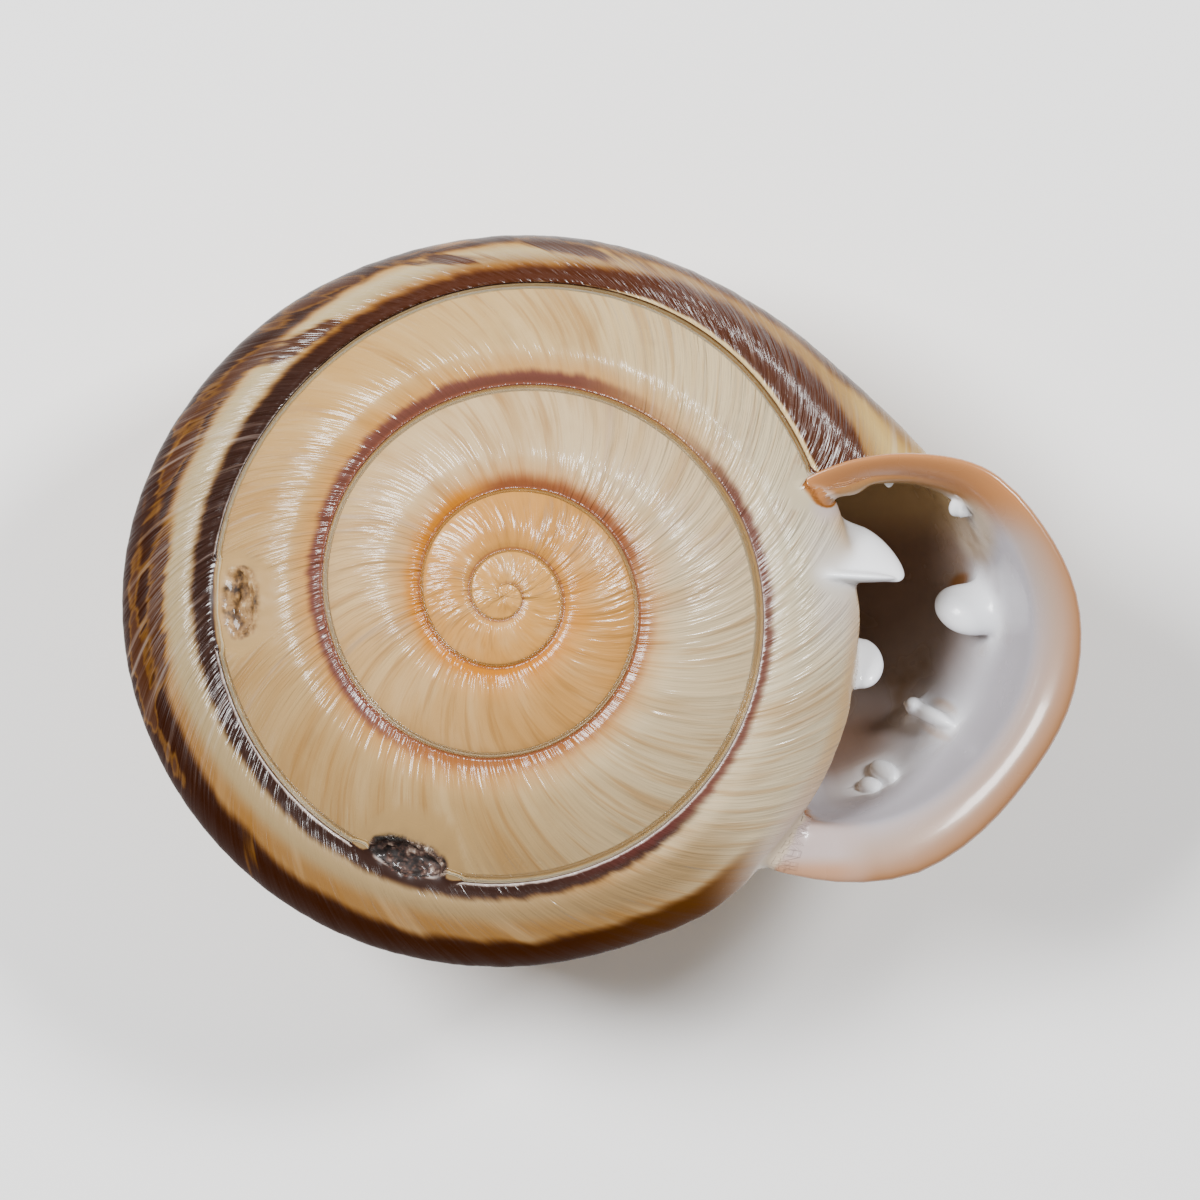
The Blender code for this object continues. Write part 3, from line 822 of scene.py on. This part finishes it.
groove_rise = times(fade(measured("seam"), 0.3, 0.0), fade(measured("turn"), 0.6, 1.6),
                    fade(measured("turn"), 4.0, 3.9), relief_in["Groove depth"])
rise_here = sum_up("ADD", sum_up("ADD", line_rise, wrinkle_rise), thread_rise)
rise_here = sum_up("SUBTRACT", rise_here, groove_rise)
rise_here = times(rise_here, outer_face, on_teeth)
crumb = noise(put(relief, "GeometryNodeInputPosition"), 2600.0, 3.0, 0.6, 6.0)
broken = times(sum_up("SUBTRACT", crumb, 0.5), measured("dirt"))
rise_here = sloped(broken, relief_in["Break depth"], rise_here)
apart = relief.nodes.new("ShaderNodeSeparateXYZ")
relief.links.new(put(relief, "GeometryNodeInputPosition"), apart.inputs[0])
rise_here = times(rise_here, fade(apart.outputs["Z"], 0.0, 0.001))
push = put(relief, "ShaderNodeVectorMath", put(relief, "GeometryNodeInputNormal"), rise_here,
           operation="SCALE")
raised = put(relief, "GeometryNodeSetPosition", relief_in["Geometry"], None, None, push)
end_tree(relief, raised, relief_in["Finish"])
through_tree(shell, relief, {
    "Line height": 0.07 * millimetre,
    "Line spacing": 0.45,
    "Wrinkle height": 0.16 * millimetre,
    "Thread height": 0.06 * millimetre,
    "Groove depth": 0.07 * millimetre,
    "Break depth": 0.9 * millimetre,
    "Seed": 3.0,
    "Finish": glaze,
})
mesh = shell.data
mesh.shade_smooth()
mesh.set_sharp_from_angle(angle=math.radians(70))


# The glaze: a cream to tan ground that changes along the coil, with bands beside the seams
paint = glaze.node_tree
shader = paint.nodes["Principled BSDF"]


def field(name):
    node = paint.nodes.new("ShaderNodeAttribute")
    node.attribute_name = name
    return node.outputs["Fac"]


def ramp(value, stops):
    """Colours for values from 0 to 1."""
    node = paint.nodes.new("ShaderNodeValToRGB")
    paint.links.new(value, node.inputs[0])
    elements = node.color_ramp.elements
    while len(elements) < len(stops):
        elements.new(0.5)
    for element, (place, colour) in zip(elements, stops):
        element.position = place
        element.color = (*colour, 1)
    return node.outputs["Color"]


def curve(value, points):
    """A value from 0 to 1 for values from 0 to 1, on a smooth curve through the points."""
    node = paint.nodes.new("ShaderNodeFloatCurve")
    paint.links.new(value, node.inputs["Value"])
    line = node.mapping.curves[0]
    while len(line.points) < len(points):
        line.points.new(0.5, 0.5)
    for point, place in zip(line.points, points):
        point.location = place
    node.mapping.update()
    return node.outputs[0]


def coat_on(colour, mask, new_colour, strength=1.0):
    """The new colour over the old one where the mask is."""
    if not isinstance(new_colour, bpy.types.NodeSocket):
        new_colour = (*new_colour, 1)
    return put(paint, "ShaderNodeMix", times(mask, strength), colour, new_colour,
               data_type="RGBA")


turn_at, grown, across_at = field("turn"), field("growth"), field("across")
seam_at, rim_at, tooth_at, dirt_at = field("seam"), field("rim"), field("tooth"), field("dirt")
outer_face = fade(rim_at, -0.2, -1.2)
plain_face = sum_up("SUBTRACT", 1.0, field("calm"))
spot = put(paint, "ShaderNodeCombineXYZ", grown, times(across_at, 0.9), 0.0)
long_spot = put(paint, "ShaderNodeCombineXYZ", grown, times(across_at, 0.3), 0.0)


def calmed(pattern):
    """The pattern, held at its middle value along the joins."""
    return sloped(sum_up("SUBTRACT", pattern, 0.5), plain_face, 0.5)


fine_lines = calmed(noise(long_spot, 3.0, 3.0, 0.6, 1.0))
broad_lines = calmed(noise(spot, 0.9, 3.0, 0.55, 2.0))
object_place = paint.nodes.new("ShaderNodeTexCoord").outputs["Object"]
clouds = noise(object_place, 350.0, 3.0, 0.6, 5.0)
waver = calmed(noise(spot, 1.6, 4.0, 0.65, 3.0))
ragged = sum_up("ADD", seam_at, sloped(waver, 0.5, -0.25))

ground_by_turn = (
    (0.0, (0.68, 0.48, 0.28)), (1.0, (0.66, 0.46, 0.26)), (1.6, (0.65, 0.44, 0.25)),
    (2.05, (0.64, 0.44, 0.25)), (2.35, (0.62, 0.47, 0.30)), (2.7, (0.68, 0.57, 0.42)),
    (3.0, (0.66, 0.58, 0.45)), (3.14, (0.63, 0.55, 0.42)), (3.27, (0.55, 0.43, 0.28)),
    (3.5, (0.57, 0.45, 0.30)), (3.65, (0.61, 0.46, 0.28)), (3.85, (0.66, 0.57, 0.42)),
    (3.97, (0.67, 0.62, 0.51)), (4.13, (0.64, 0.57, 0.45)), (4.2, (0.46, 0.33, 0.20)),
    (4.5, (0.42, 0.29, 0.17)), (4.65, (0.52, 0.35, 0.18)), (4.95, (0.60, 0.46, 0.25)),
)
ramp_turns = 5.0
ground_stops = [(turn / ramp_turns, ground) for turn, ground in ground_by_turn]
colour = ramp(sum_up("DIVIDE", turn_at, ramp_turns), ground_stops)
last_whorl = fade(turn_at, 4.11, 4.16)
last_place = put(paint, "ShaderNodeMath", turn_at, 4.0, operation="SUBTRACT", use_clamp=True)

# Growth lines, brown and pale
for pattern, full, line_colour, strength in (
    (broad_lines, 0.72, (0.42, 0.26, 0.12), 0.32),
    (broad_lines, 0.3, (0.78, 0.68, 0.52), 0.25),
    (fine_lines, 0.66, (0.42, 0.27, 0.14), 0.34),
):
    line_here = times(fade(pattern, 0.5, full), plain_face)
    colour = coat_on(colour, line_here, line_colour, strength)

# Warm bands outside the inner seams, and a thin dark line in the seam itself, its own purple-brown
# deepened with painted shade in the groove: how far out each band is clear and full, where it
# starts and ends along the coil, and how softly
for edge, clear_at, full_at, start, end, soft, band_colour, strength in (
    (ragged, 1.5, 0.1, 1.9, 3.9, 0.1, (0.62, 0.36, 0.17), 0.5),
    (ragged, 0.75, 0.15, 2.1, 2.72, 0.05, (0.60, 0.33, 0.13), 0.75),
    (ragged, 0.75, 0.15, 2.72, 2.97, 0.03, (0.36, 0.19, 0.13), 0.85),
    (ragged, 0.75, 0.15, 3.0, 3.42, 0.04, (0.40, 0.22, 0.13), 0.8),
    (ragged, 0.62, 0.3, 3.36, 3.84, 0.05, (0.24, 0.13, 0.13), 0.85),
    # Painted shade: this thin dark line darkens the groove of each inner seam, over the seam's own
    # purple-brown
    (seam_at, 0.13, 0.03, 0.8, 3.93, 0.3, (0.34, 0.19, 0.14), 0.6),
):
    band = times(fade(edge, clear_at, full_at), within(turn_at, start, end, soft))
    colour = coat_on(colour, band, band_colour, strength)

# The last whorl: a pale band, brown bands towards the keel, blotches, and a purple-brown band
pale_centre = curve(last_place, (
    (0.0, 0.5), (0.167, 0.44), (0.25, 0.3), (0.375, 0.28), (0.5, 0.37), (0.625, 0.45),
    (0.71, 0.55), (0.79, 0.6), (0.875, 0.65), (1.0, 0.7)))
from_centre = sum_up("ABSOLUTE", sum_up("SUBTRACT", across_at, pale_centre), 0.0)
pale_here = times(fade(from_centre, 0.26, 0.06), last_whorl)
colour = coat_on(colour, pale_here, ramp(last_place, (
    (0.2, (0.44, 0.35, 0.24)), (0.45, (0.50, 0.43, 0.31)), (0.7, (0.60, 0.54, 0.40)),
    (0.85, (0.64, 0.53, 0.33)))), 0.9)
edge_wave = sum_up("ADD", across_at, sloped(broad_lines, 0.16, -0.08))
along_edge = put(paint, "ShaderNodeCombineXYZ", times(grown, 0.16),
                 sloped(across_at, 3.2, times(grown, -0.1)), 0.0)
islands = noise(along_edge, 1.0, 3.0, 0.55, 12.0)
edge_start = curve(last_place, ((0.1, 0.8), (0.2, 0.71), (0.3, 0.68), (0.42, 0.64), (0.5, 0.6),
                                (0.62, 0.64), (0.72, 0.8), (0.8, 0.84), (0.95, 0.9)))
past_edge = sum_up("SUBTRACT", edge_wave, edge_start)
edge_here = times(last_whorl, fade(past_edge, -0.06, 0.06), fade(across_at, 1.34, 1.22))
colour = coat_on(colour, times(edge_here, fade(turn_at, 4.95, 4.88)), (0.42, 0.27, 0.14), 0.8)
dark_share = curve(last_place, ((0.1, 0.5), (0.2, 0.72), (0.36, 0.75), (0.5, 0.62), (0.62, 0.66),
                                (0.75, 0.6), (0.9, 0.7)))
streaks = fade(sum_up("SUBTRACT", islands, dark_share), 0.05, -0.07)
colour = coat_on(colour, times(edge_here, streaks, fade(turn_at, 4.96, 4.9)), ramp(last_place, (
    (0.12, (0.26, 0.16, 0.09)), (0.22, (0.12, 0.055, 0.03)), (0.4, (0.085, 0.036, 0.024)),
    (0.6, (0.075, 0.032, 0.022)), (0.8, (0.11, 0.05, 0.03)))), 0.93)
blotch_here = sloped(field("blotch"), 1.25, -2.15)
blotch_here = sloped(broad_lines, 2.6, sloped(fine_lines, 1.2, blotch_here))
colour = coat_on(colour, times(fade(blotch_here, 0.2, 0.5), last_whorl), (0.40, 0.27, 0.14), 0.6)
colour = coat_on(colour, times(fade(blotch_here, 0.4, 0.75), last_whorl), (0.16, 0.09, 0.06), 0.95)
low_side = times(fade(across_at, 1.16, 1.32), last_whorl)
colour = coat_on(colour, low_side, (0.60, 0.46, 0.28), 0.7)
band_width = times(curve(last_place, (
    (0.0, 0.0), (0.1, 0.1), (0.125, 0.2), (0.25, 0.24), (0.39, 0.27), (0.556, 0.34), (0.667, 0.27),
    (0.736, 0.24), (0.79, 0.31), (0.833, 0.5), (0.89, 0.75), (0.93, 0.9), (1.0, 0.95))), 2.1)
past_band = sum_up("SUBTRACT", ragged, band_width)
band_here = times(fade(past_band, 0.2, -0.12), last_whorl)
colour = coat_on(colour, band_here, (0.080, 0.034, 0.022), 0.95)
halo = times(fade(past_band, 0.9, 0.0), last_whorl, fade(turn_at, 4.6, 4.75))
colour = coat_on(colour, halo, (0.25, 0.12, 0.07), 0.5)
seam_line = times(fade(ragged, 0.5, 0.16), within(turn_at, 3.9, 4.2, 0.04))
colour = coat_on(colour, seam_line, (0.22, 0.11, 0.10), 0.85)
# Painted highlights: pale streaks along the growth lines, on the side of every whorl that faces one
# of the two soft boxes
glint_striae = times(fade(fine_lines, 0.5, 0.66), fade(broad_lines, 0.4, 0.6))


def facing(turned):
    """One on the side of every whorl that faces this share of a turn, easing to nothing."""
    angle = sloped(turn_at, math.tau, -math.tau * turned)
    return fade(sum_up("COSINE", angle, 0.0), 0.7, 0.95)


# The sides that face the soft boxes, which take the painted highlights and the deeper growth lines
sides_toward_lights = sum_up("MAXIMUM", facing(0.52), facing(0.92))
colour = coat_on(colour, times(glint_striae, sides_toward_lights), (0.80, 0.78, 0.76), 0.26)

# The thread of glaze on the seam
thread_width = curve(last_place, (
    (0.0, 0.05), (0.45, 0.1), (0.6, 0.04), (0.79, 0.02), (0.83, 0.14), (1.0, 0.18)))
thread_edge = sloped(sum_up("SUBTRACT", ragged, seam_at), 0.35, seam_at)
past_thread = sum_up("SUBTRACT", thread_edge, thread_width)
threaded = times(fade(past_thread, 0.04, -0.06), fade(turn_at, 3.93, 4.03))
colour = coat_on(colour, threaded, ramp(last_place, (
    (0.6, (0.70, 0.65, 0.62)), (0.8, (0.84, 0.73, 0.52)))), 0.85)

# The whorl's side inside the mouth, and the low callus where the lip spreads onto it
side_in_mouth = times(fade(turn_at, 4.14, 4.09), fade(across_at, 0.8, 0.95))
side_in_mouth = times(side_in_mouth, fade(turn_at, 3.92, 3.94))
colour = coat_on(colour, side_in_mouth, (0.63, 0.50, 0.34), 0.9)
callus = times(within(turn_at, 3.965, 4.02, 0.02), within(across_at, 0.55, 1.0, 0.12))
colour = coat_on(colour, callus, (0.76, 0.72, 0.69), 0.6)
spread = times(within(turn_at, 4.085, 4.14, 0.025), within(across_at, 0.85, 1.25, 0.15))
colour = coat_on(colour, spread, (0.68, 0.62, 0.60), 0.7)
outer_colour = colour

# The lip and the lining, by how far in from the lip's edge
rim_first, rim_last = -2.0, 12.0
rim_share = put(paint, "ShaderNodeMapRange", rim_at, rim_first, rim_last, 0.0, 1.0)


def rim_ramp(stops):
    """Colours for places in from the lip's edge, in millimetres."""
    return ramp(rim_share, [((mm - rim_first) / (rim_last - rim_first), c) for mm, c in stops])


side_lip = rim_ramp((
    (-2.0, (0.50, 0.34, 0.20)), (-0.7, (0.47, 0.28, 0.16)), (0.0, (0.50, 0.32, 0.21)),
    (0.25, (0.50, 0.35, 0.25)), (0.6, (0.54, 0.44, 0.38)), (1.2, (0.60, 0.585, 0.615)),
    (3.2, (0.61, 0.60, 0.63)), (4.6, (0.52, 0.48, 0.47)), (6.0, (0.43, 0.36, 0.32)),
    (8.0, (0.52, 0.40, 0.32)), (12.0, (0.56, 0.42, 0.32)),
))
# Along the top of the mouth: the lip's own orange-brown near its edge, and deeper in a pale cream
# that is painted light, brightening the shaded upper lining over its olive-brown
top_lip_and_painted_light = rim_ramp((
    (-2.0, (0.50, 0.34, 0.20)), (-0.7, (0.50, 0.30, 0.18)), (0.0, (0.57, 0.37, 0.24)),
    (1.0, (0.55, 0.36, 0.24)), (2.2, (0.50, 0.34, 0.22)), (3.4, (0.52, 0.39, 0.27)),
    (6.0, (0.82, 0.70, 0.52)), (12.0, (0.85, 0.70, 0.50)),
))
apart = paint.nodes.new("ShaderNodeSeparateXYZ")
paint.links.new(object_place, apart.inputs[0])
x_at, y_at, z_at = apart.outputs
lip_colour = coat_on(side_lip, fade(y_at, 0.0022, 0.0042), top_lip_and_painted_light)
low_corner = times(fade(x_at, 0.0125, 0.0108), fade(y_at, -0.006, -0.008),
                   fade(z_at, 0.0098, 0.0108))
low_edge = times(low_corner, fade(y_at, -0.0086, -0.0093))
# Painted shadow: the lining low in the mouth is darkened where the whorl shades it
lining_painted_shadow = times(fade(x_at, 0.0142, 0.0120), fade(rim_at, 1.9, 3.6),
                   fade(y_at, -0.003, -0.0045))
lip_colour = coat_on(lip_colour, low_corner, (0.60, 0.54, 0.53), 0.95)
lip_colour = coat_on(lip_colour, low_edge, (0.56, 0.39, 0.28), 0.8)
lip_colour = coat_on(lip_colour, lining_painted_shadow, (0.36, 0.27, 0.22), 0.85)


def soft_spot(centre, turned, length, breadth):
    """One inside an ellipse seen from above, in mm from the coil's middle, easing to nothing."""
    place = [(c - r) * millimetre for c, r in zip(centre, (rest_x, rest_y))]
    sizes = length * millimetre, breadth * millimetre, 1
    inside_it = put(paint, "ShaderNodeMapping", object_place, (*place, 0),
                    (0, 0, math.radians(turned)), sizes, vector_type="TEXTURE")
    far = put(paint, "ShaderNodeVectorMath", inside_it, operation="LENGTH")
    return fade(far, 1.0, 0.35)


for centre, turned, length, breadth, spot_colour in (
    ((16.7, 2.3), 113, 1.5, 0.8, (0.70, 0.63, 0.55)),
    ((15.75, -4.0), -30, 0.6, 0.35, (0.46, 0.28, 0.15)),
    ((15.4, -4.85), -30, 0.7, 0.28, (0.44, 0.25, 0.12)),
    ((16.3, 0.55), 40, 0.5, 0.3, (0.40, 0.25, 0.16)),
):
    spotted = times(soft_spot(centre, turned, length, breadth), fade(rim_at, 0.5, 1.5))
    lip_colour = coat_on(lip_colour, spotted, spot_colour, 0.9)
stain = times(fade(clouds, 0.52, 0.7), fade(rim_at, 2.0, 4.0))
lip_colour = coat_on(lip_colour, stain, (0.36, 0.26, 0.17), 0.5)

# Plain glaze over the joins of the mouth with the whorl, and over the folded back of the lip
from_coil = sum_up("ABSOLUTE", sum_up("ADD", rim_at, 3.0), 0.0)
under_lip = times(field("calm"), fade(from_coil, 0.0, 0.08),
                  fade(turn_at, 3.99, 4.03), fade(turn_at, 5.0, 4.94))
low_down = fade(z_at, 0.0098, 0.0078)
lip_back = times(fade(turn_at, 4.97, 4.985), fade(across_at, 0.6, 0.45))
by_lip_start = times(soft_spot((11.6, 3.5), 60, 1.3, 0.9), fade(turn_at, 4.1, 4.05))
lip_start = times(soft_spot((11.38, 3.3), -35, 1.0, 0.55), fade(turn_at, 4.94, 4.97))
for mask, plain_colour, strength in (
    (under_lip, (0.64, 0.57, 0.49), 1.0),
    (times(under_lip, low_down), (0.60, 0.47, 0.30), 1.0),
    (lip_back, (0.56, 0.37, 0.25), 1.0),
    (by_lip_start, (0.70, 0.63, 0.64), 0.7),
):
    outer_colour = coat_on(outer_colour, mask, plain_colour, strength)
colour = coat_on(outer_colour, fade(rim_at, -1.8, -1.1), lip_colour)
colour = coat_on(colour, lip_start, (0.68, 0.60, 0.56), 0.95)

# White teeth, and crumbled glaze in the damage: tan at the left, and on the seam below broken glaze
# with dark and white crumbs that are painted shade and painted highlights in the notch
colour = coat_on(colour, tooth_at, (0.96, 0.975, 1.0), 0.96)
crumbs = noise(object_place, 1800.0, 3.0, 0.65, 6.0)
broken_tan = ramp(crumbs, ((0.35, (0.10, 0.07, 0.05)), (0.5, (0.40, 0.29, 0.18)),
                           (0.62, (0.58, 0.45, 0.30)), (0.7, (0.74, 0.66, 0.54))))
# Painted shade and painted highlights: dark and white crumbs in the broken notch on the seam, over
# the broken glaze
broken_glaze_shade_and_glints = ramp(crumbs, ((0.45, (0.05, 0.035, 0.03)), (0.54, (0.20, 0.14, 0.12)),
                            (0.62, (0.50, 0.43, 0.38)), (0.7, (0.86, 0.82, 0.78))))
broken = coat_on(broken_tan, fade(y_at, -0.003, -0.006), broken_glaze_shade_and_glints)
colour = coat_on(colour, fade(dirt_at, 0.25, 0.6), broken, 0.95)
colour = coat_on(colour, times(fade(clouds, 0.6, 0.75), outer_face), (0.3, 0.2, 0.12), 0.15)
deepened = put(paint, "ShaderNodeHueSaturation", 0.5, 1.12, 1.0, 1.0,
               put(paint, "ShaderNodeGamma", colour, 1.75))

# How glossy it is, duller at the keel, and the fine lines in its surface
gloss = sloped(clouds, 0.2, 0.16)
gloss = sloped(dirt_at, 0.4, gloss)
dull_keel = times(fade(across_at, 0.45, 0.8), last_whorl, outer_face)
hair_lines = calmed(noise(long_spot, 5.5, 2.0, 0.5, 9.0))
line_depth = times(sloped(sides_toward_lights, 0.6, 0.4), sloped(dull_keel, -0.75, 1.0))
grain = times(sum_up("ADD", fine_lines, times(hair_lines, 1.2)), outer_face, line_depth)
bump = paint.nodes.new("ShaderNodeBump")
bump.inputs["Strength"].default_value = 0.8
bump.inputs["Distance"].default_value = 0.16 * millimetre
paint.links.new(grain, bump.inputs["Height"])
shader.inputs["Coat Roughness"].default_value = 0.09
for name, value in (
    ("Base Color", deepened),
    ("Roughness", gloss),
    ("Specular IOR Level", sloped(dull_keel, -0.34, 0.38)),
    ("Coat Weight", sloped(dull_keel, -0.3, 0.3)),
    ("Normal", bump.outputs["Normal"]),
    ("Coat Normal", bump.outputs["Normal"]),
):
    paint.links.new(value, shader.inputs[name])

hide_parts("shell")
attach(shell, "root")

# The floor: a plain pale sheet under the shell, wider than the picture.
# It is matt, so that the shell's shadow stays soft on it.
floor_reach = 1
floor_mesh = bpy.data.meshes.new("floor")
floor_mesh.from_pydata([
    (x * floor_reach, y * floor_reach, 0) for x, y in ((-1, -1), (1, -1), (1, 1), (-1, 1))
], [], [(0, 1, 2, 3)])
floor = linked("floor", floor_mesh)
floor_finish = bpy.data.materials.new("pale_floor")
floor_finish.use_nodes = True
floor_shader = floor_finish.node_tree.nodes["Principled BSDF"]
floor_shader.inputs["Base Color"].default_value = (0.9, 0.9, 0.9, 1)
floor_shader.inputs["Roughness"].default_value = 0.8
floor_mesh.materials.append(floor_finish)

# The camera: straight above the shell and far off, with a long lens, as in the photo.
# Its place over the shell puts the outline where the photo has it.
camera = linked("camera", bpy.data.cameras.new("camera"))
camera.data.lens = 250
camera.data.sensor_width = 36
camera.data.clip_start = 0.01
camera.location = (0.002554, 0.000358, 0.3070)
bpy.context.scene.camera = camera

# The light: two soft boxes high at the back, left and right, and a dim pale surround.
# Each box has its place, its width in metres and its power in watts, and faces the shell.
soft_boxes = (
    ("left_box", (-0.185, 0.09, 0.28), 0.12, 2.1),
    ("right_box", (0.20, 0.12, 0.26), 0.07, 1.3),
)
for name, place, size, power in soft_boxes:
    light = bpy.data.lights.new(name, "AREA")
    light.size = size
    light.energy = power
    box = linked(name, light)
    box.location = place
    aim = np.array(place) / -np.linalg.norm(place)
    box.rotation_euler = (math.acos(-aim[2]), 0, math.atan2(aim[0], -aim[1]) + math.pi)
surround = bpy.data.worlds.new("studio")
surround.use_nodes = True
background = surround.node_tree.nodes["Background"]
background.inputs["Color"].default_value = (1, 1, 1, 1)
background.inputs["Strength"].default_value = 0.35
bpy.context.scene.world = surround
